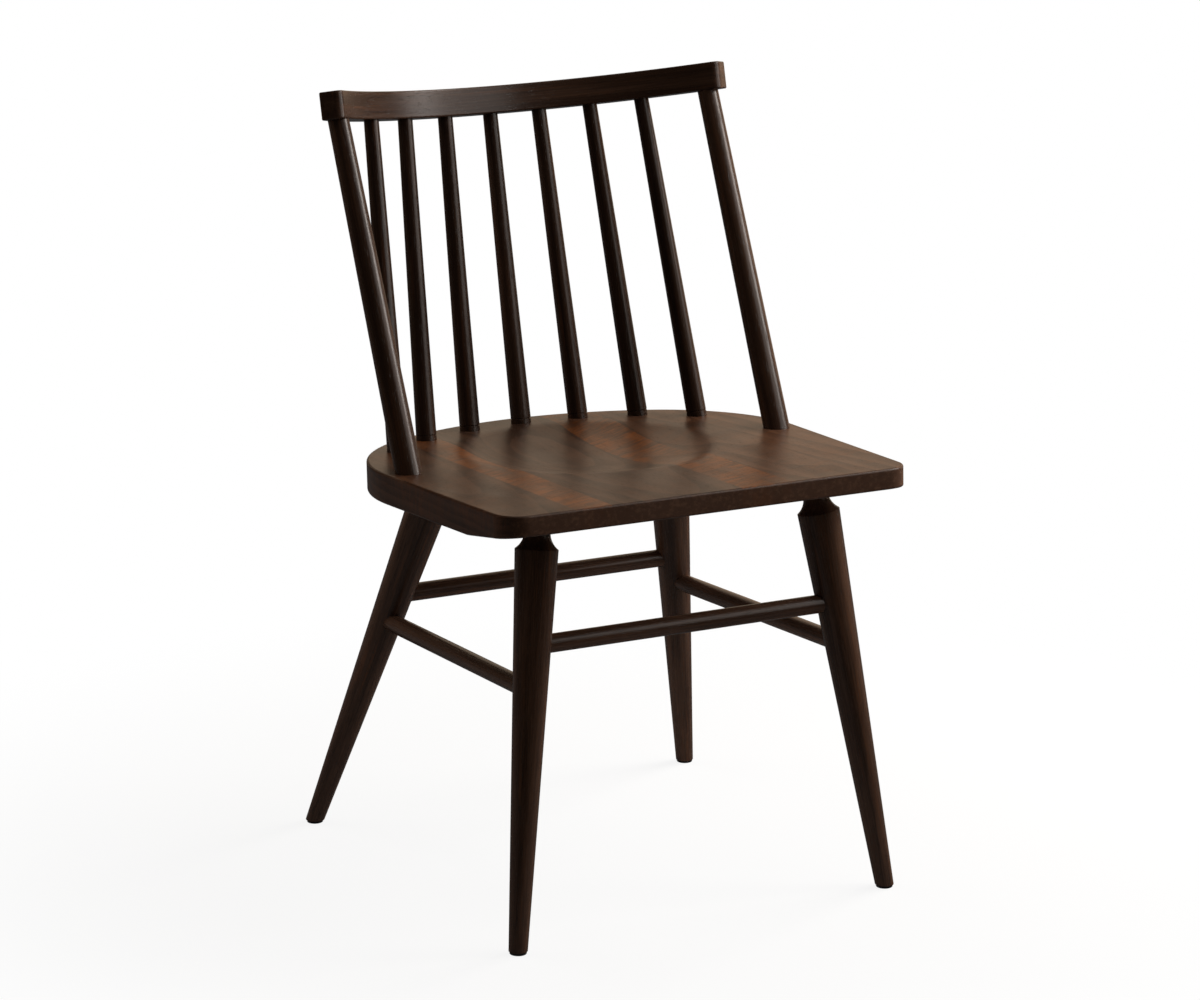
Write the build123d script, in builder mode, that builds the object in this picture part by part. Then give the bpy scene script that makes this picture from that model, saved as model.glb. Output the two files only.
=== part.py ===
from build123d import *
import os
from math import atan2, copysign, cos, hypot, radians, sin, sqrt, tan

# A stick-back side chair: a scooped seat of glued boards on four turned legs, with seven
# spindles and two posts that carry a bent crest rail. Lengths are millimetres, angles degrees.
# The floor is z = 0, the chair faces -Y, and the origin lies under the middle of its outline box.

# Seat
seat_front_height = 455.0
seat_pitch = 2.63
seat_depth = 459.9
seat_front_width = 461.8
seat_side_flare = 2.41
seat_thickness = 32.0
seat_front_edge = 21.5
seat_bevel_depth = 85.0
seat_bevel_round = 60.0
seat_rear_radius = 315.4
seat_rear_corner_radius = 175.3
seat_front_corner_radius = 28.0
seat_edge_round = 2.5
seat_top_round = 2.5
dish_setback = 275.0
dish_radius = 136.0
dish_depth = 14.0
dish_rim_round = 70.0
glue_lines = (-155.0, -115.0, 32.0, 89.0, 167.0)

# Legs
front_leg_setback = 76.4
front_leg_offset = 159.8
front_leg_splay = 54.8
front_leg_rake = -61.9
back_leg_setback = 355.2
back_leg_offset = 138.2
back_leg_splay = 93.5
back_leg_rake = 128.3
foot_diameter = 19.3
leg_shoulder_diameter = 44.1
leg_neck_diameter = 26.2
leg_cove_height = 17.2
leg_tenon_length = 20.0

# Stretchers
stretcher_diameter = 19.3
stretcher_tenon_diameter = 13.0
stretcher_tenon_past_axis = 3.0
front_stretcher_height = 304.0
back_stretcher_height = 272.0
side_stretcher_front_height = 260.0
side_stretcher_back_height = 242.0

# Posts and spindles
spindles_each_side = 3
spindle_inset = 26.9
spindle_seat_spacing = 66.0
spindle_crest_spacing = 56.6
spindle_seat_diameter = 21.9
spindle_crest_diameter = 15.9
spindle_seat_tenon_diameter = 15.0
spindle_seat_tenon_length = 14.0
spindle_crest_tenon_diameter = 11.0
spindle_crest_tenon_length = 14.0
spindle_groove_height = 4.2
spindle_groove_width = 1.2
spindle_groove_depth = 0.6
post_setback = 255.2
post_inset = 24.2
post_crest_reach = 244.2
post_seat_diameter = 28.1
post_crest_diameter = 22.3
post_seat_tenon_diameter = 19.0
post_seat_tenon_length = 14.0
post_crest_tenon_diameter = 14.0
post_crest_tenon_length = 16.0

# Crest rail
crest_setback = 504.3
crest_underside_height = 762.6
crest_tilt = 14.1
crest_radius = 305.0
crest_thickness = 24.0
crest_height = 29.4
crest_end_margin = 18.0
crest_front_end_round = 8.0
crest_back_end_round = 2.0
crest_edge_round = 1.6

# Foot glides
glide_diameter = 17.5
glide_thickness = 3.0
glide_edge_round = 0.8
nail_diameter = 2.2
nail_length = 14.0
nail_point_length = 3.0
nail_point_diameter = 0.4
nail_head_diameter = 7.0
nail_head_thickness = 1.0

# Joints
glue_gap = 0.1
shoulder_cover = 1.5

# The outline box is centred on the origin: the crest rail reaches furthest back, and the
# pitched front edge of the seat reaches furthest forward.
front_reach = (seat_front_edge - seat_edge_round) * sin(radians(seat_pitch))
back_reach = (
    crest_setback
    + (crest_thickness / 2 - crest_edge_round) * cos(radians(crest_tilt))
    + (crest_height - crest_edge_round) * sin(radians(crest_tilt))
    + crest_edge_round
)
front_y = (front_reach - back_reach) / 2

# The seat's plane is its top, with x to the side and y measured back from the front edge.
seat_normal = Vector(0, sin(radians(seat_pitch)), cos(radians(seat_pitch)))
seat_plane = Plane(origin=(0, front_y, seat_front_height), x_dir=(1, 0, 0), z_dir=seat_normal)
seat_up = Axis(seat_plane.origin, seat_normal)

# The crest rail's plane is its underside, with the bend's centre as its origin.
crest_normal = Vector(0, sin(radians(crest_tilt)), cos(radians(crest_tilt)))
crest_back = Vector(0, cos(radians(crest_tilt)), -sin(radians(crest_tilt)))
crest_middle = Vector(0, front_y + crest_setback, crest_underside_height)
crest_plane = Plane(origin=crest_middle - crest_back * crest_radius, x_dir=(1, 0, 0), z_dir=crest_normal)
crest_up = Axis(crest_plane.origin, crest_normal)

# Seat outline: straight flared sides, a rear arc, and a corner arc that is tangent to both.
half_front = seat_front_width / 2
flare = tan(radians(seat_side_flare))
flare_length = hypot(1, flare)
rear_centre_y = seat_depth - seat_rear_radius
corner_start = half_front - seat_rear_corner_radius * flare_length
corner_b = corner_start * flare - rear_centre_y
corner_c = corner_start**2 + rear_centre_y**2 - (seat_rear_radius - seat_rear_corner_radius) ** 2
corner_y = (sqrt(corner_b**2 - flare_length**2 * corner_c) - corner_b) / flare_length**2
corner_x = corner_start + flare * corner_y
corner_angle = atan2(corner_x, corner_y - rear_centre_y)


def on_rear_arc(angle, inset=0.0):
    """Point of the rear arc, or of a line inset from it, by its angle from straight back."""
    radius = seat_rear_radius - inset
    return (radius * sin(angle), rear_centre_y + radius * cos(angle))


def on_corner_arc(angle, inset=0.0):
    """Point of the right rear corner, or of a line inset from it, by the same angle."""
    radius = seat_rear_corner_radius - inset
    return (corner_x + radius * sin(angle), corner_y + radius * cos(angle))


def spindle_base(distance):
    """Foot of a spindle on the seat, this far round from the middle of the back."""
    rear_length = (seat_rear_radius - spindle_inset) * corner_angle
    if abs(distance) <= rear_length:
        x, y = on_rear_arc(distance / (seat_rear_radius - spindle_inset), spindle_inset)
    else:
        past = (abs(distance) - rear_length) / (seat_rear_corner_radius - spindle_inset)
        x, y = on_corner_arc(corner_angle + past, spindle_inset)
        x = copysign(x, distance)
    return seat_plane.from_local_coords(Vector(x, y, 0))


def crest_point(distance):
    """Point on the crest rail's underside, this far round from its middle."""
    angle = distance / crest_radius
    return crest_plane.from_local_coords(Vector(crest_radius * sin(angle), crest_radius * cos(angle), 0))


# Turned pieces

def axis_plane(start, end):
    """Plane through a turning's axis: x runs from start to end, and y is the radius."""
    along = (end - start).normalized()
    reference = Vector(1, 0, 0) if abs(along.Z) > 0.7 else Vector(0, 0, 1)
    return Plane(origin=start, x_dir=along, z_dir=along.cross(reference))


def turning(start, end, outline):
    """Solid turned about the line from start to end, from (distance, radius) pairs."""
    with BuildPart() as turned:
        with BuildSketch(axis_plane(start, end)):
            with BuildLine():
                Polyline((outline[0][0], 0), *outline, (outline[-1][0], 0), close=True)
            make_face()
        revolve(axis=Axis(start, end - start))
    return turned.part


def tenon(shoulder, length, tenon_diameter, body_diameter, gap=0.0):
    """Tip, neck and shoulder of a tenon, or of its mortise where there is a gap."""
    return [
        (-shoulder - length - gap, tenon_diameter / 2 + gap),
        (-shoulder - gap, tenon_diameter / 2 + gap),
        (-shoulder - gap, body_diameter / 2 + gap),
    ]


def far_end(outline, length):
    """The same end outline, turned round to finish a piece of this length."""
    return [(length - distance, radius) for distance, radius in reversed(outline)]


def mortise(origin, outward, joint, reach):
    """Hole for a tenon, open towards the outward direction as far as its reach."""
    body_diameter = joint[-1]
    outline = [*tenon(*joint, gap=glue_gap), (reach, body_diameter / 2 + glue_gap)]
    return turning(origin, origin + outward, outline)


def shoulder_depth(direction, normal, diameter):
    """How deep a slanted round piece is let in before its shoulder is covered all round."""
    slant = min(direction.get_angle(normal), 180 - direction.get_angle(normal))
    return diameter / 2 * tan(radians(slant)) + shoulder_cover


# Posts and spindles: each is let in at full size, then has a smaller blind tenon at each end.

seat_mortises = []
crest_mortises = []


def upright(name, base, top, seat_end, crest_end, grooved):
    """A post or spindle, with its mortises; an end is (diameter, tenon diameter, tenon length)."""
    along = top - base
    seat_diameter, seat_tenon_diameter, seat_tenon_length = seat_end
    crest_diameter, crest_tenon_diameter, crest_tenon_length = crest_end
    seat_shoulder = shoulder_depth(along, seat_normal, seat_diameter)
    crest_shoulder = shoulder_depth(along, crest_normal, crest_diameter)
    seat_joint = (seat_shoulder, seat_tenon_length, seat_tenon_diameter, seat_diameter)
    crest_joint = (crest_shoulder, crest_tenon_length, crest_tenon_diameter, crest_diameter)

    outline = tenon(*seat_joint)
    outline.append((0, seat_diameter / 2))
    if grooved:
        half_groove = spindle_groove_width / 2
        outline.append((spindle_groove_height - half_groove, seat_diameter / 2))
        outline.append((spindle_groove_height, seat_diameter / 2 - spindle_groove_depth))
        outline.append((spindle_groove_height + half_groove, seat_diameter / 2))
    outline.append((along.length, crest_diameter / 2))
    outline += far_end(tenon(*crest_joint), along.length)

    seat_mortises.append(mortise(base, along, seat_joint, reach=seat_diameter))
    crest_mortises.append(mortise(top, along * -1, crest_joint, reach=crest_diameter))
    piece = turning(base, top, outline)
    piece.label = name
    return piece


uprights = []
spindle_seat_end = (spindle_seat_diameter, spindle_seat_tenon_diameter, spindle_seat_tenon_length)
spindle_crest_end = (spindle_crest_diameter, spindle_crest_tenon_diameter, spindle_crest_tenon_length)
for place in range(-spindles_each_side, spindles_each_side + 1):
    base = spindle_base(place * spindle_seat_spacing)
    top = crest_point(place * spindle_crest_spacing)
    name = f"spindle_{place + spindles_each_side + 1}"
    uprights.append(upright(name, base, top, spindle_seat_end, spindle_crest_end, grooved=True))

post_x = half_front + flare * post_setback - post_inset * flare_length
post_seat_end = (post_seat_diameter, post_seat_tenon_diameter, post_seat_tenon_length)
post_crest_end = (post_crest_diameter, post_crest_tenon_diameter, post_crest_tenon_length)
for side, hand in ((-1, "left"), (1, "right")):
    base = seat_plane.from_local_coords(Vector(side * post_x, post_setback, 0))
    top = crest_point(side * post_crest_reach)
    uprights.append(upright(f"post_{hand}", base, top, post_seat_end, post_crest_end, grooved=False))

# Leg axes, from the floor to the underside of the seat

corners = [(end, hand, side) for end in ("front", "back") for hand, side in (("left", -1), ("right", 1))]
leg_places = {
    "front": (front_leg_offset, front_leg_setback, front_leg_splay, front_leg_rake),
    "back": (back_leg_offset, back_leg_setback, back_leg_splay, back_leg_rake),
}
foot_point = {}
seat_point = {}
for end, hand, side in corners:
    offset_x, setback, splay, rake = leg_places[end]
    head = seat_plane.from_local_coords(Vector(side * offset_x, setback, -seat_thickness))
    seat_point[end, hand] = head
    foot_point[end, hand] = Vector(head.X + side * splay, head.Y + rake, 0)


def leg_axis_point(corner, height):
    """Where a leg's axis is at this height above the floor."""
    foot = foot_point[corner]
    head = seat_point[corner]
    return foot + (head - foot) * (height / head.Z)


def leg_shoulder_distance(corner):
    """Distance along a leg from the floor to its shoulder, with the whole cove below the seat."""
    along = seat_point[corner] - foot_point[corner]
    return along.length - shoulder_depth(along, seat_normal, leg_neck_diameter) - leg_cove_height


def leg_radius(corner, distance):
    """A leg's radius at this distance along it, from its straight taper."""
    share = distance / leg_shoulder_distance(corner)
    return foot_diameter / 2 + (leg_shoulder_diameter - foot_diameter) / 2 * share


# Stretchers: each enters two legs at full size, and its tenons pass the middle of the legs.

leg_mortises = {(end, hand): [] for end, hand, side in corners}


def stretcher_joint(corner, place, along):
    """Joint of a stretcher whose shoulder is covered by the leg all round, from the leg's axis."""
    leg_along = seat_point[corner] - foot_point[corner]
    meeting = radians(min(along.get_angle(leg_along), 180 - along.get_angle(leg_along)))
    radius = stretcher_diameter / 2
    leg_flat = sqrt(leg_radius(corner, (place - foot_point[corner]).length) ** 2 - radius**2)
    shoulder = leg_flat / sin(meeting) - radius / tan(meeting) - shoulder_cover
    length = shoulder + stretcher_tenon_past_axis
    return (-shoulder, length, stretcher_tenon_diameter, stretcher_diameter)


def stretcher(name, first, first_height, second, second_height):
    """A round rung between two legs, with its mortises added to them."""
    start = leg_axis_point(first, first_height)
    end = leg_axis_point(second, second_height)
    along = end - start
    first_joint = stretcher_joint(first, start, along)
    second_joint = stretcher_joint(second, end, along)
    leg_mortises[first].append(mortise(start, along, first_joint, reach=leg_shoulder_diameter))
    leg_mortises[second].append(mortise(end, along * -1, second_joint, reach=leg_shoulder_diameter))
    outline = tenon(*first_joint) + far_end(tenon(*second_joint), along.length)
    piece = turning(start, end, outline)
    piece.label = name
    return piece


stretchers = [
    stretcher("stretcher_front", ("front", "left"), front_stretcher_height,
              ("front", "right"), front_stretcher_height),
    stretcher("stretcher_back", ("back", "left"), back_stretcher_height,
              ("back", "right"), back_stretcher_height),
]
for hand in ("left", "right"):
    stretchers.append(stretcher(f"stretcher_{hand}", ("front", hand), side_stretcher_front_height,
                                ("back", hand), side_stretcher_back_height))

# Legs: a straight taper up to a shoulder, a cove down to the neck, and the neck as the tenon.

legs = []
glide_points = {}
for end, hand, side in corners:
    foot = foot_point[end, hand]
    head = seat_point[end, hand]
    along = head - foot
    shoulder_at = leg_shoulder_distance((end, hand))
    neck_at = shoulder_at + leg_cove_height
    tip_at = along.length + leg_tenon_length
    below_floor = -foot_diameter
    glide_points[end, hand] = leg_axis_point((end, hand), glide_thickness)

    with BuildPart() as leg:
        with BuildSketch(axis_plane(foot, head)):
            with BuildLine():
                shoulder = (shoulder_at, leg_shoulder_diameter / 2)
                neck = (neck_at, leg_neck_diameter / 2)
                Polyline(
                    neck,
                    (tip_at, leg_neck_diameter / 2),
                    (tip_at, 0),
                    (below_floor, 0),
                    (below_floor, leg_radius((end, hand), below_floor)),
                    shoulder,
                )
                TangentArc(neck, shoulder, tangent=(-1, 0))
            make_face()
        revolve(axis=Axis(foot, along))
        split(bisect_by=Plane.XY.offset(glide_thickness), keep=Keep.TOP)
        for cutter in leg_mortises[end, hand]:
            add(cutter, mode=Mode.SUBTRACT)
        with Locations(glide_points[end, hand]):
            Cylinder(
                nail_diameter / 2 + glue_gap,
                nail_length + glue_gap,
                align=(Align.CENTER, Align.CENTER, Align.MIN),
                mode=Mode.SUBTRACT,
            )
    leg.part.label = f"leg_{end}_{hand}"
    legs.append(leg.part)

    seat_mortises.append(turning(foot, head, [
        (neck_at, leg_neck_diameter / 2 + glue_gap),
        (tip_at + glue_gap, leg_neck_diameter / 2 + glue_gap),
    ]))

# Seat: one shaped blank, then the boards that it is glued up from.

side_angle = atan2(1, -flare)
side_end = on_corner_arc(side_angle)
corner_middle = on_corner_arc((side_angle + corner_angle) / 2)
corner_end = on_corner_arc(corner_angle)
bevel_slope = (seat_thickness - seat_front_edge) / seat_bevel_depth
seat_section = Plane(origin=seat_plane.origin, x_dir=seat_plane.y_dir, z_dir=seat_plane.x_dir)
dish_sphere_radius = (dish_radius**2 + dish_depth**2) / (2 * dish_depth)
dish_centre = seat_plane.from_local_coords(Vector(0, dish_setback, dish_sphere_radius - dish_depth))


def other_side(point):
    """The same point on the left half of the seat."""
    return (-point[0], point[1])


with BuildPart() as seat:
    with BuildSketch(seat_plane):
        with BuildLine():
            Polyline(other_side(side_end), (-half_front, 0), (half_front, 0), side_end)
            ThreePointArc(side_end, corner_middle, corner_end)
            ThreePointArc(corner_end, (0, seat_depth), other_side(corner_end))
            ThreePointArc(other_side(corner_end), other_side(corner_middle), other_side(side_end))
        outline = make_face()
        fillet(outline.vertices().group_by(Axis.Y)[0], seat_front_corner_radius)
    extrude(amount=-seat_thickness)

    with BuildSketch(seat_section):
        with BuildLine():
            Polyline(
                (-seat_bevel_depth, -seat_front_edge + bevel_slope * seat_bevel_depth),
                (seat_bevel_depth, -seat_thickness),
                (seat_bevel_depth, -2 * seat_thickness),
                (-seat_bevel_depth, -2 * seat_thickness),
                close=True,
            )
        make_face()
    extrude(amount=seat_front_width, both=True, mode=Mode.SUBTRACT)

    flat_under, bevel_under = seat.faces().sort_by(seat_up)[:2]
    fillet(flat_under.edges() & bevel_under.edges(), seat_bevel_round)
    under_faces = seat.faces().filter_by(lambda face: face.normal_at().dot(seat_normal) < -0.9)
    under_edges = ShapeList(
        edge
        for edge in seat.edges()
        if sum(edge in face.edges() for face in under_faces) == 1
    )
    fillet(under_edges, seat_edge_round)
    fillet(seat.faces().sort_by(seat_up)[-1].outer_wire().edges(), seat_top_round)

    with Locations(dish_centre):
        Sphere(dish_sphere_radius, mode=Mode.SUBTRACT)
    dish_face = seat.faces().filter_by(GeomType.SPHERE)[0]
    fillet(dish_face.outer_wire().edges(), dish_rim_round)

    for cutter in seat_mortises:
        add(cutter, mode=Mode.SUBTRACT)

seat_boards = []
board_sides = (None, *glue_lines, None)
for number, (left_line, right_line) in enumerate(zip(board_sides, board_sides[1:]), start=1):
    with BuildPart() as board:
        add(seat.part)
        if left_line is not None:
            split(bisect_by=Plane.YZ.offset(left_line), keep=Keep.TOP)
        if right_line is not None:
            split(bisect_by=Plane.YZ.offset(right_line), keep=Keep.BOTTOM)
    board.part.label = f"seat_board_{number}"
    seat_boards.append(board.part)

# Crest rail: a bent rail whose upright end corners are rounded, the front ones most.

crest_end_angle = (post_crest_reach + crest_end_margin) / crest_radius
crest_inner_radius = crest_radius - crest_thickness / 2
crest_outer_radius = crest_radius + crest_thickness / 2


def on_crest(radius, angle):
    """Point of the crest rail's plan by its angle from straight back."""
    return (radius * sin(angle), radius * cos(angle))


with BuildPart() as crest_rail:
    with BuildSketch(crest_plane):
        with BuildLine():
            ends = [
                (on_crest(crest_inner_radius, angle), on_crest(crest_outer_radius, angle))
                for angle in (-crest_end_angle, crest_end_angle)
            ]
            ThreePointArc(ends[0][0], (0, crest_inner_radius), ends[1][0])
            ThreePointArc(ends[0][1], (0, crest_outer_radius), ends[1][1])
            Line(*ends[0])
            Line(*ends[1])
        outline = make_face()
        fillet(outline.vertices().group_by(Axis.Y)[0], crest_front_end_round)
    extrude(amount=crest_height)
    upright_edges = crest_rail.edges().filter_by(crest_up)
    fillet(upright_edges.sort_by_distance(crest_plane.origin)[-2:], crest_back_end_round)
    underside, *sides, topside = crest_rail.faces().sort_by(crest_up)
    fillet(underside.edges() + topside.edges(), crest_edge_round)
    for cutter in crest_mortises:
        add(cutter, mode=Mode.SUBTRACT)
crest_rail.part.label = "crest_rail"

# Foot glides: a hard disc under each leg, held by a nail whose head lies in the disc's top.

glides = []
for (end, hand), place in glide_points.items():
    with BuildPart() as glide:
        with BuildSketch(Plane(origin=(place.X, place.Y, 0))):
            Circle(glide_diameter / 2)
        extrude(amount=glide_thickness)
        fillet(glide.edges().group_by(Axis.Z)[0], glide_edge_round)
        with BuildSketch(Plane(origin=place)):
            Circle(nail_head_diameter / 2 + glue_gap)
        extrude(amount=-nail_head_thickness - glue_gap, mode=Mode.SUBTRACT)
    glide.part.label = f"glide_{end}_{hand}"
    glides.append(glide.part)

with BuildPart() as glide_nails:
    for place in glide_points.values():
        with BuildSketch(Plane(origin=place, x_dir=(0, 0, 1), z_dir=(0, 1, 0))):
            with BuildLine():
                Polyline(
                    (-nail_head_thickness, 0),
                    (-nail_head_thickness, nail_head_diameter / 2),
                    (0, nail_head_diameter / 2),
                    (0, nail_diameter / 2),
                    (nail_length - nail_point_length, nail_diameter / 2),
                    (nail_length, nail_point_diameter / 2),
                    (nail_length, 0),
                    close=True,
                )
            make_face()
        revolve(axis=Axis(place, (0, 0, 1)))
glide_nails.part.label = "glide_nails"

# One file for each piece

os.makedirs("parts", exist_ok=True)
pieces = [*seat_boards, *legs, *stretchers, *uprights, crest_rail.part, *glides, glide_nails.part]
for piece in pieces:
    export_step(piece, f"parts/{piece.label}.step")
    box = piece.bounding_box()
    print(f"{piece.label}: {box.size.X:.1f} x {box.size.Y:.1f} x {box.size.Z:.1f} mm")
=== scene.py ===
# %% [markdown]
# # A dark-stained spindle-back side chair
# The real chair is all turned and shaped hardwood: a scooped seat glued up from six
# boards, four splayed legs with four stretchers, seven spindles between two stouter
# posts, and a bent crest rail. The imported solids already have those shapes, so nothing
# is remodelled here. What is left to make is the finish: espresso stain over grain,
# satin lacquer, and the soft studio light that it was photographed in.

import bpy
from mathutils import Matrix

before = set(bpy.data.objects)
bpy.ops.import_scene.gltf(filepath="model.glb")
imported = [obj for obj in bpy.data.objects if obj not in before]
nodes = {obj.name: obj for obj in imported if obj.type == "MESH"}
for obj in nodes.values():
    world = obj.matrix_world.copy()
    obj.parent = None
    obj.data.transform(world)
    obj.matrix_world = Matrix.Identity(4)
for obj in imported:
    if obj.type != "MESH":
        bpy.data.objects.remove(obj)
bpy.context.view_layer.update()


# %% Libraries for the rest of the lesson
from math import atan2, pi, radians

import bpy
import numpy as np
from mathutils import Vector

scene = bpy.context.scene
scene.view_settings.view_transform = "Standard"

# %% [markdown]
# ## The camera
# The photograph was taken with a long lens from the sitter's front left, a little above
# the seat. The place and lens were worked out from the chair's own edges in the picture.
# A camera could also be aimed by a constraint, but plain numbers keep it exactly still.

# %% Camera at the photograph's angle
camera_place = Vector((-1.9253, -3.7089, 1.4622))
camera_turn = -27.521
camera_drop = 14.429

bpy.ops.object.select_all(action="DESELECT")
bpy.ops.object.camera_add(
    location=camera_place,
    rotation=(radians(90 - camera_drop), 0, radians(camera_turn)),
)
photo_camera = bpy.context.object
photo_camera.name = "photo_camera"
photo_camera.data.sensor_width = 36
photo_camera.data.lens = 122.88
scene.camera = photo_camera
print("camera distance:", round(camera_place.length, 3), "m")

# %% [markdown]
# ## Shader maths as plain Python
# Wood is layers of stretched noise, added and multiplied. Wiring each Math node by hand
# hides the idea, so one small class wraps a socket and lets + - * and ** add the nodes, and
# one recipe method makes every other node: its settings first, then its sockets.


# %% A number that changes over a surface, and the recipe that it belongs to
class Shade:
    """A node's output. Sums and products of shades add Math nodes to their recipe."""

    def __init__(self, recipe, socket):
        self.recipe = recipe
        self.socket = socket

    def math(self, operation, first, second):
        return self.recipe.node("ShaderNodeMath", {"operation": operation}, {0: first, 1: second})

    def __add__(self, other):
        return self.math("ADD", self, other)

    def __radd__(self, other):
        return self.math("ADD", other, self)

    def __sub__(self, other):
        return self.math("SUBTRACT", self, other)

    def __rsub__(self, other):
        return self.math("SUBTRACT", other, self)

    def __mul__(self, other):
        return self.math("MULTIPLY", self, other)

    def __rmul__(self, other):
        return self.math("MULTIPLY", other, self)

    def __pow__(self, other):
        return self.math("POWER", self, other)


class Recipe:
    """The node tree of a material or a world, emptied and filled from Python."""

    def __init__(self, owner):
        owner.use_nodes = True
        self.owner = owner
        self.tree = owner.node_tree
        self.tree.nodes.clear()

    def node(self, kind, settings=None, sockets=None, output=0):
        made = self.tree.nodes.new(kind)
        for name, value in (settings or {}).items():
            setattr(made, name, value)
        for name, value in (sockets or {}).items():
            if isinstance(value, Shade):
                self.tree.links.new(value.socket, made.inputs[name])
            else:
                made.inputs[name].default_value = value
        return Shade(self, made.outputs[output]) if made.outputs else None

    def ease(self, value, low, high):
        """0 below low, 1 above high, and a smooth step between."""
        return self.node(
            "ShaderNodeMapRange",
            {"interpolation_type": "SMOOTHSTEP"},
            {"Value": value, "From Min": low, "From Max": high},
        )

    def tint(self, amount, first, second):
        """The first colour where amount is 0, the second where it is 1."""
        return self.node("ShaderNodeMix", {"data_type": "RGBA"}, {0: amount, 6: first, 7: second}, output=2)

    def strands(self, place, stretch, detail, roughness=0.55, wander=0.0):
        """Noise whose grains are stretched: stretch is how many grains there are per metre."""
        drawn = self.node("ShaderNodeMapping", None, {"Vector": place, "Scale": stretch})
        return self.node(
            "ShaderNodeTexNoise",
            None,
            {"Vector": drawn, "Scale": 1.0, "Detail": detail, "Roughness": roughness, "Distortion": wander},
        )


def rgb(red, green, blue):
    """A linear colour with full alpha."""
    return (red, green, blue, 1.0)


# %% [markdown]
# ## Espresso stain under satin lacquer
# Stain sinks deepest into pores and soft early wood, and leaves the hard late wood a
# little redder. The finish follows that: broad growth bands, fine fibres and short dark
# pores, all drawn out along the piece's own grain. The lacquer over it is one clear satin
# coat, so the pores dent it slightly and the shine varies a little with the fibres.


# %% The stain and lacquer of every stick in the frame
stain_deep = (0.036, 0.0180, 0.0115)
stain_warm = (0.092, 0.0480, 0.0300)
stain_red = (0.150, 0.0570, 0.0240)
stain_pore = (0.012, 0.0065, 0.0045)
lacquer_ior = 1.45


def lacquered(recipe, colour, shine, relief, depth):
    """Close the recipe with one clear coat: colour, roughness, and relief in metres."""
    dents = recipe.node("ShaderNodeBump", None, {"Strength": 1.0, "Distance": depth, "Height": relief})
    coat = recipe.node(
        "ShaderNodeBsdfPrincipled",
        None,
        {"Base Color": colour, "Roughness": shine, "IOR": lacquer_ior, "Normal": dents},
    )
    recipe.node("ShaderNodeOutputMaterial", None, {"Surface": coat})


def toned(colour, tone_and_light):
    """The same stain scaled lighter or darker; the scale paints in light and shade, and on the seat boards
    also each board's own tone.
    """
    return rgb(*(tone_and_light * part for part in colour))


def stained_stick(recipe, grain, tone_and_light):
    """Frame wood: grain is a place in metres whose z runs along the fibres."""
    stains = (stain_deep, stain_warm, stain_red, stain_pore)
    deep, warm, red, pore = (toned(stain, tone_and_light) for stain in stains)
    bands = recipe.strands(grain, (75, 75, 2.6), 3.0)
    fibres = recipe.strands(grain, (820, 820, 16), 4.0, 0.65)
    pores = recipe.ease(recipe.strands(grain, (1700, 1700, 75), 2.0), 0.61, 0.70)
    streaks = recipe.ease(recipe.strands(grain, (165, 165, 5.5), 3.0), 0.54, 0.74)
    clouds = recipe.strands(grain, (22, 22, 9), 2.0)
    warmth = recipe.ease(bands * 0.62 + fibres * 0.38, 0.36, 0.68)
    colour = recipe.tint(warmth * (0.55 + clouds * 0.8), deep, warm)
    colour = recipe.tint(streaks * clouds * 0.75, colour, red)
    colour = recipe.tint(pores * 0.8, colour, pore)
    shine = 0.20 + fibres * 0.09 + pores * 0.10
    lacquered(recipe, colour, shine, fibres * 0.35 - pores, 0.00005)


# %% [markdown]
# ## Grain along each turned stick
# A turned leg or spindle is cut from a straight billet, so its fibres run down its own
# slanted axis. Object coordinates with one Mapping node per piece do this: the long
# axis is read from the piece's points, and the pattern is turned to lie along it. Each
# piece also gets its own slide along the grain, because no two billets match.


# %% Find the long axis of a piece
def long_axis(name):
    """The middle of a piece and the direction of its greatest length."""
    points = np.array([vertex.co for vertex in nodes[name].data.vertices])
    middle = (points.min(axis=0) + points.max(axis=0)) / 2
    _, _, directions = np.linalg.svd(points - points.mean(axis=0), full_matrices=False)
    return Vector(middle), Vector(directions[0])


def laid_along(recipe, middle, turn):
    """Object coordinates seen from a frame of the piece's own."""
    place = recipe.node("ShaderNodeTexCoord", output="Object")
    return recipe.node(
        "ShaderNodeMapping",
        {"vector_type": "TEXTURE"},
        {"Vector": place, "Location": middle, "Rotation": turn},
    )


def dress(name, recipe):
    """Give a solid its finished material."""
    nodes[name].material_slots[0].material = recipe.owner


# %% Stain the legs, stretchers, spindles and posts
sides = ("left", "right")
legs = [f"leg_{end}_{side}" for end in ("front", "back") for side in sides]
stretchers = [f"stretcher_{side}" for side in ("front", "back", "left", "right")]
spindles = [f"spindle_{number}" for number in range(1, 8)]
posts = [f"post_{side}" for side in sides]
billet_slide = 1.37
# These scales paint light and shade into the one stain: spindles and posts darker, legs and stretchers
# lighter, for light the lamps alone don't give.
painted_light_tones = {"leg_front": 1.05, "leg_back": 1.25, "stretcher": 1.3, "spindle": 0.64, "post": 0.80}

for count, stick in enumerate(legs + stretchers + spindles + posts):
    middle, along = long_axis(stick)
    turn = along.to_track_quat("Z", "Y").to_euler()
    recipe = Recipe(bpy.data.materials.new(f"stained_{stick}"))
    grain = laid_along(recipe, middle + along * (billet_slide * (count + 1)), turn)
    tone_and_light = next(painted_light_tones[kind] for kind in painted_light_tones if stick.startswith(kind))
    stained_stick(recipe, grain, tone_and_light)
    dress(stick, recipe)
print("sticks stained:", count + 1)

# %% [markdown]
# ## Grain round the bent crest rail
# The crest rail is bent, so its fibres follow the bend instead of a straight line. The
# pattern's place is therefore worked out round the bend's centre: distance from the
# centre, height, and length along the arc. A straight pattern would run out at the ends.

# %% Stain the crest rail
bend_centre = Vector((0, -0.05245, 0.83690))
bend_radius = 0.305
bend_tilt = -14.1
# A painted light and shade scale on the crest rail's stain, as on the other sticks.
crest_light_tone = 0.95

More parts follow.
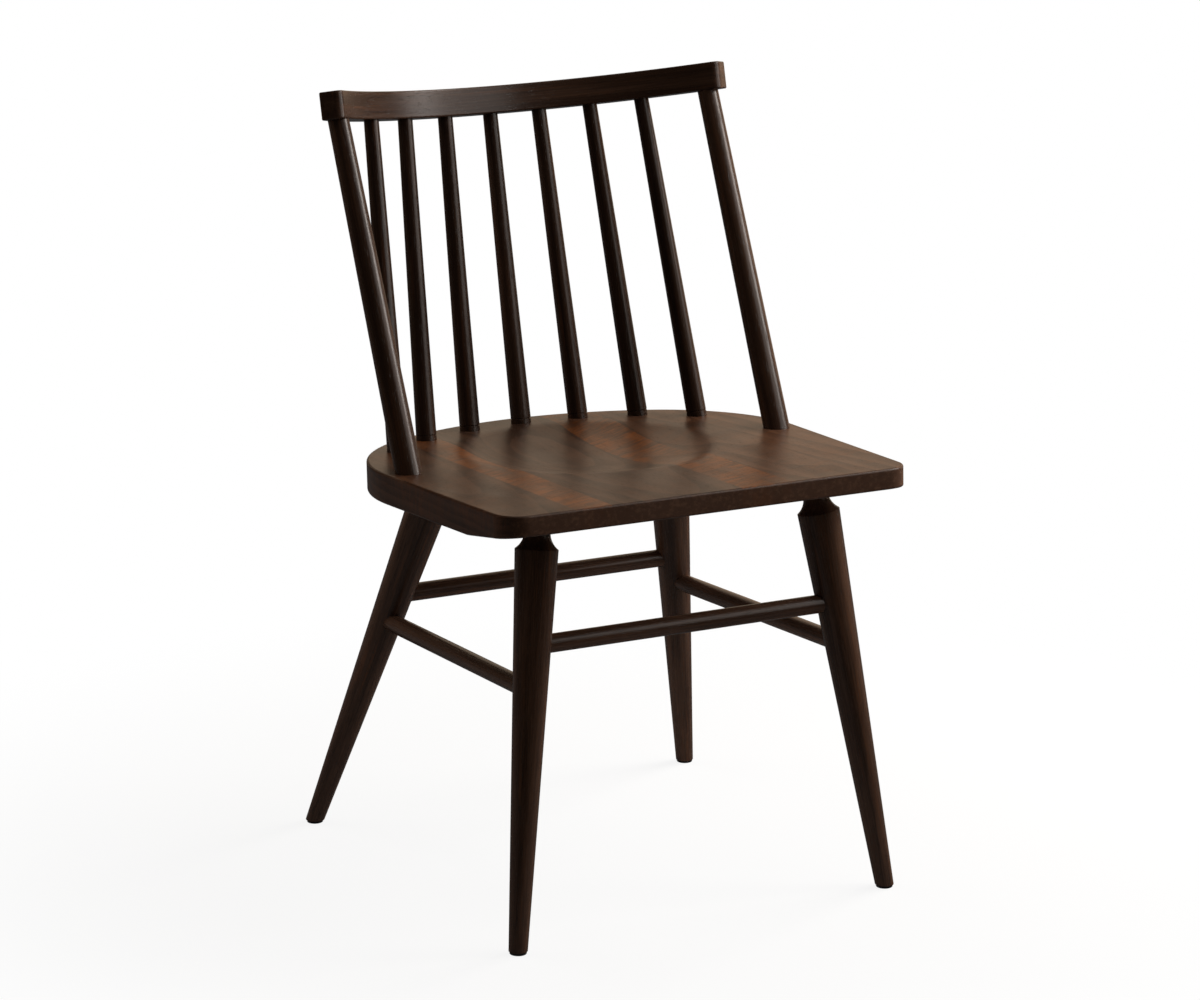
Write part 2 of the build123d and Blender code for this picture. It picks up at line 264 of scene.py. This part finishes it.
recipe = Recipe(bpy.data.materials.new("stained_crest_rail"))
plan = laid_along(recipe, bend_centre, (radians(bend_tilt), 0, 0))
across = recipe.node("ShaderNodeSeparateXYZ", None, {0: plan}, output="X")
back = recipe.node("ShaderNodeSeparateXYZ", None, {0: plan}, output="Y")
height = recipe.node("ShaderNodeSeparateXYZ", None, {0: plan}, output="Z")
reach = (across * across + back * back) ** 0.5
swing = across.math("ARCTAN2", across, back)
grain = recipe.node("ShaderNodeCombineXYZ", None, {"X": reach, "Y": height, "Z": swing * bend_radius})
stained_stick(recipe, grain, crest_light_tone)
dress("crest_rail", recipe)
print("crest rail stained round a bend of", bend_radius, "m")

# %% [markdown]
# ## The glued-up seat
# Six boards of different width make the seat. Each board's tone is partly its own and
# partly painted light: the tones rise towards the right to paint in the seat's brighter
# right side. Their fibres run from front to back, so the front edge shows end grain. Two
# of the boards were redder under the stain and have a rippled figure, short bright waves
# across the grain. Each board is its own solid, so each gets its own growth rings, round a
# heart line that lies below the seat.

# %% Stain the seat boards
board_deep = (0.034, 0.0155, 0.0088)
board_warm = (0.096, 0.0475, 0.0275)
board_ember = rgb(0.190, 0.0520, 0.0060)
board_pore = rgb(0.016, 0.0085, 0.0055)
board_end = rgb(0.074, 0.0345, 0.0195)
board_fleck = rgb(0.150, 0.0790, 0.0460)
ripple_heading = atan2(0.42, 1.0)
heart_slope = radians(0.8)
heart_swing = radians(0.6)


def stained_board(recipe, heart, slide, tone_and_light, ember, ripple):
    """Seat wood: heart is the rings' centre line, ember how red and ripple how figured."""
    deep = toned(board_deep, tone_and_light)
    warm = toned(board_warm, tone_and_light)
    place = recipe.node("ShaderNodeTexCoord", output="Object")
    turn = (radians(90) + heart_slope, 0, heart_swing)
    grain = laid_along(recipe, heart + Vector((0, slide, 0)), turn)
    rings = recipe.node(
        "ShaderNodeTexWave",
        {"wave_type": "RINGS", "rings_direction": "Z", "wave_profile": "SAW"},
        {"Vector": grain, "Scale": 36.0, "Distortion": 2.2, "Detail": 2.0, "Detail Scale": 0.35},
        output="Fac",
    )
    bands = recipe.strands(grain, (60, 60, 1.8), 3.0)
    fibres = recipe.strands(grain, (760, 760, 13), 4.0, 0.65)
    pores = recipe.ease(recipe.strands(grain, (1500, 1500, 70), 2.0), 0.61, 0.70)
    clouds = recipe.strands(place, (14, 14, 14), 2.0)
    waved = recipe.node(
        "ShaderNodeMapping",
        {"vector_type": "TEXTURE"},
        {"Vector": place, "Rotation": (0, 0, ripple_heading)},
    )
    waves = recipe.ease(recipe.strands(waved, (18, 170, 45), 3.0, 0.65, 1.2), 0.44, 0.56)
    gaps = recipe.ease(recipe.strands(waved, (24, 230, 60), 2.0, 0.5, 1.2), 0.54, 0.62)
    flecks = recipe.ease(recipe.strands(place, (200, 60, 240), 4.0, 0.7), 0.46, 0.66)
    patches = recipe.ease(recipe.strands(place, (24, 10, 20), 2.0), 0.32, 0.60)
    facing = recipe.node("ShaderNodeNewGeometry", output="Normal")
    front = recipe.node("ShaderNodeSeparateXYZ", None, {0: facing}, output="Y")
    end_grain = recipe.ease(front * front, 0.25, 0.75)
    warmth = recipe.ease(bands * 0.50 + fibres * 0.30 + rings * 0.20, 0.36, 0.64)
    colour = recipe.tint(warmth * (0.3 + clouds * 1.2), deep, warm)
    glow = (ember + ripple * waves) * (0.3 + patches * 0.7)
    colour = recipe.tint(glow, colour, board_ember)
    colour = recipe.tint(gaps * ripple * 0.8, colour, deep)
    end = recipe.tint(flecks * 0.6, board_end, board_fleck)
    colour = recipe.tint(end_grain * (0.65 + clouds * 0.5), colour, end)
    colour = recipe.tint(pores * 0.7, colour, board_pore)
    shine = 0.23 + clouds * 0.16 + fibres * 0.10 + pores * 0.10
    lacquered(recipe, colour, shine, fibres * 0.35 - pores, 0.00004)


# Columns: heart, slide, tone, ember, ripple. The tone is partly the board's own and partly painted light,
# rising towards the right.
boards = (
    (Vector((-0.21, 0, 0.36)), 0.31, 0.66, 0.07, 0.14),
    (Vector((-0.12, 0, 0.30)), 1.12, 0.90, 0.43, 0.57),
    (Vector((-0.05, 0, 0.33)), 2.05, 0.80, 0.00, 0.07),
    (Vector((0.08, 0, 0.31)), 3.47, 0.90, 0.32, 0.60),
    (Vector((0.11, 0, 0.35)), 4.29, 1.12, 0.02, 0.16),
    (Vector((0.22, 0, 0.32)), 5.61, 1.34, 0.03, 0.17),
)
for number, (heart, slide, tone_and_light, ember, ripple) in enumerate(boards, start=1):
    recipe = Recipe(bpy.data.materials.new(f"stained_seat_board_{number}"))
    stained_board(recipe, heart, slide, tone_and_light, ember, ripple)
    dress(f"seat_board_{number}", recipe)
print("seat boards stained:", len(boards))

# %% [markdown]
# ## Glides and their nails
# Under each foot a thin black plastic glide is nailed on, and shows in the photograph as
# a dark line. Moulded plastic is near black with a fine pebble and scuffs from the floor.
# The nails are plain bright steel with drawing marks.

# %% Mould the glides and draw the nails
for end in ("front", "back"):
    for side in sides:
        recipe = Recipe(bpy.data.materials.new(f"moulded_glide_{end}_{side}"))
        place = recipe.node("ShaderNodeTexCoord", output="Object")
        pebble = recipe.strands(place, (2600, 2600, 2600), 2.0)
        scuffs = recipe.ease(recipe.strands(place, (900, 140, 300), 3.0), 0.56, 0.70)
        colour = recipe.tint(scuffs * 0.6, rgb(0.008, 0.008, 0.008), rgb(0.035, 0.034, 0.032))
        lacquered(recipe, colour, 0.42 + scuffs * 0.25 + pebble * 0.10, pebble, 0.00003)
        dress(f"glide_{end}_{side}", recipe)

recipe = Recipe(bpy.data.materials.new("drawn_nail_steel"))
place = recipe.node("ShaderNodeTexCoord", output="Object")
drawing = recipe.strands(place, (2400, 2400, 60), 3.0)
rust = recipe.ease(recipe.strands(place, (420, 420, 420), 3.0), 0.58, 0.74)
steel = recipe.node(
    "ShaderNodeBsdfPrincipled",
    None,
    {
        "Base Color": recipe.tint(rust * 0.5, rgb(0.56, 0.55, 0.53), rgb(0.19, 0.12, 0.08)),
        "Metallic": 1.0,
        "Roughness": 0.26 + drawing * 0.16 + rust * 0.25,
    },
)
recipe.node("ShaderNodeOutputMaterial", None, {"Surface": steel})
dress("glide_nails", recipe)
print("glides moulded: 4, nails drawn: 4")

# %% [markdown]
# ## White paper on the floor
# The chair stands on a sheet of white paper. More light would make it white, but would
# also bleach the wood. Instead the paper glows white to the camera alone, and only the
# part near the chair keeps a share of its lit surface, so the soft shadow stays. It
# throws some light back up at the legs, and is dim where the lacquer mirrors it.

# %% White paper floor that keeps the chair's shadow
bpy.ops.object.select_all(action="DESELECT")
bpy.ops.mesh.primitive_plane_add(size=1.0)
bpy.ops.transform.resize(value=(7.0, 5.6, 1.0))
bpy.ops.transform.translate(value=(0.9, 1.9, 0))
bpy.ops.object.transform_apply(location=True, rotation=True, scale=True)
paper = bpy.context.object
paper.name = "paper_floor"

paper_seen = rgb(0.88, 0.88, 0.87)
paper_bounce = rgb(0.43, 0.42, 0.41)
paper_echo = 0.08
shadow_share = 0.12
shadow_near = 0.35
shadow_far = 1.0

recipe = Recipe(bpy.data.materials.new("white_paper"))
seen = recipe.node("ShaderNodeLightPath", output="Is Camera Ray")
mirrored = recipe.node("ShaderNodeLightPath", output="Is Glossy Ray")
through = recipe.node("ShaderNodeLightPath", output="Is Transmission Ray")
place = recipe.node("ShaderNodeTexCoord", output="Object")
away = recipe.node("ShaderNodeVectorMath", {"operation": "LENGTH"}, {0: place}, output="Value")
near = 1.0 - recipe.ease(away, shadow_near, shadow_far)
echo = mirrored + through
pale = recipe.tint(seen, paper_bounce, paper_seen)
sheet = recipe.node("ShaderNodeBsdfDiffuse", None, {"Color": pale})
brightness = seen + echo * paper_echo
glow = recipe.node("ShaderNodeEmission", None, {"Color": rgb(1, 1, 1), "Strength": brightness})
share = seen * (1.0 - near * shadow_share) + echo
surface = recipe.node("ShaderNodeMixShader", None, {0: share, 1: sheet, 2: glow})
recipe.node("ShaderNodeOutputMaterial", None, {"Surface": surface})
paper.data.materials.append(recipe.owner)
print("paper floor:", [round(side, 2) for side in paper.dimensions], "m")

# %% [markdown]
# ## The room round the chair
# Behind the chair hangs a warm, pale sweep, and the room behind the camera is dark. The
# seat's sheen is that sweep, mirrored at a low angle, and the near black legs mirror the
# dark room. A big bent sheet could be modelled, but a bright patch of the world in one
# direction gives the same sheen with nothing to hide from the other views.

# %% White to the camera, a warm sweep in reflections
sweep_heading = Vector((0.63, 0.75, 0.21)).normalized()
sweep_white = 0.60
sweep_cream = rgb(1, 0.775, 0.56)
room_fill = 0.02
room_dark = 0.02

room = bpy.data.worlds.new("studio_room")
scene.world = room
room.cycles.sampling_method = "NONE"
recipe = Recipe(room)
seen = recipe.node("ShaderNodeLightPath", output="Is Camera Ray")
mirrored = recipe.node("ShaderNodeLightPath", output="Is Glossy Ray")
through = recipe.node("ShaderNodeLightPath", output="Is Transmission Ray")
heading = recipe.node("ShaderNodeTexCoord", output="Generated")
facing = recipe.node(
    "ShaderNodeVectorMath",
    {"operation": "DOT_PRODUCT"},
    {0: heading, 1: sweep_heading},
    output="Value",
)
sweep = room_dark + recipe.ease(facing, 0.68, 0.95) * (sweep_white - room_dark)
echo = mirrored + through
strength = seen + (1.0 - seen) * (echo * sweep + (1.0 - echo) * room_fill)
cream = recipe.tint(seen, sweep_cream, rgb(1, 1, 1))
sky = recipe.node("ShaderNodeBackground", None, {"Color": cream, "Strength": strength})
recipe.node("ShaderNodeOutputWorld", None, {"Surface": sky})
print("sweep heading:", [round(part, 2) for part in sweep_heading])

# %% [markdown]
# ## Lamps
# A tall softbox to the right draws the bright line down each post, and a dimmer wall
# beside it softens that line. Two fills light the sides and are kept out of reflections,
# because the photograph's lacquer shows no lamp there. Area lamps are used because their
# shadows have soft edges, and their power follows from their size and brightness.


# %% Softboxes
lamp_warmth = (1, 0.95, 0.90)


def softbox(name, place, aim, width, tall, brightness, mirrored=True):
    """A rectangular lamp of an even brightness, aimed at a point and unseen by the camera."""
    bpy.ops.object.select_all(action="DESELECT")
    bpy.ops.object.light_add(type="AREA", location=place)
    lamp = bpy.context.object
    lamp.name = name
    lamp.data.shape = "RECTANGLE"
    lamp.data.size = width
    lamp.data.size_y = tall
    lamp.data.color = lamp_warmth
    lamp.data.energy = pi * width * tall * brightness
    lamp.rotation_euler = (aim - Vector(place)).to_track_quat("-Z", "Y").to_euler()
    lamp.visible_camera = False
    lamp.visible_glossy = mirrored
    print(name, "power", round(lamp.data.energy, 1), "W")


chair_heart = Vector((0, 0, 0.45))
softbox("key_softbox", (1.88, -0.68, 1.96), chair_heart, 0.75, 1.5, 7.5)
softbox("key_wall", (1.61, -1.35, 1.50), chair_heart, 2.2, 1.6, 1.3)
softbox("right_fill", (1.98, 0.22, 0.95), chair_heart, 1.0, 1.4, 11.0, mirrored=False)
softbox("left_fill", (-1.55, 1.55, 1.20), chair_heart, 1.8, 1.8, 1.8, mirrored=False)
softbox("top_softbox", (0.20, 0.10, 2.70), chair_heart, 1.8, 1.8, 0.6)
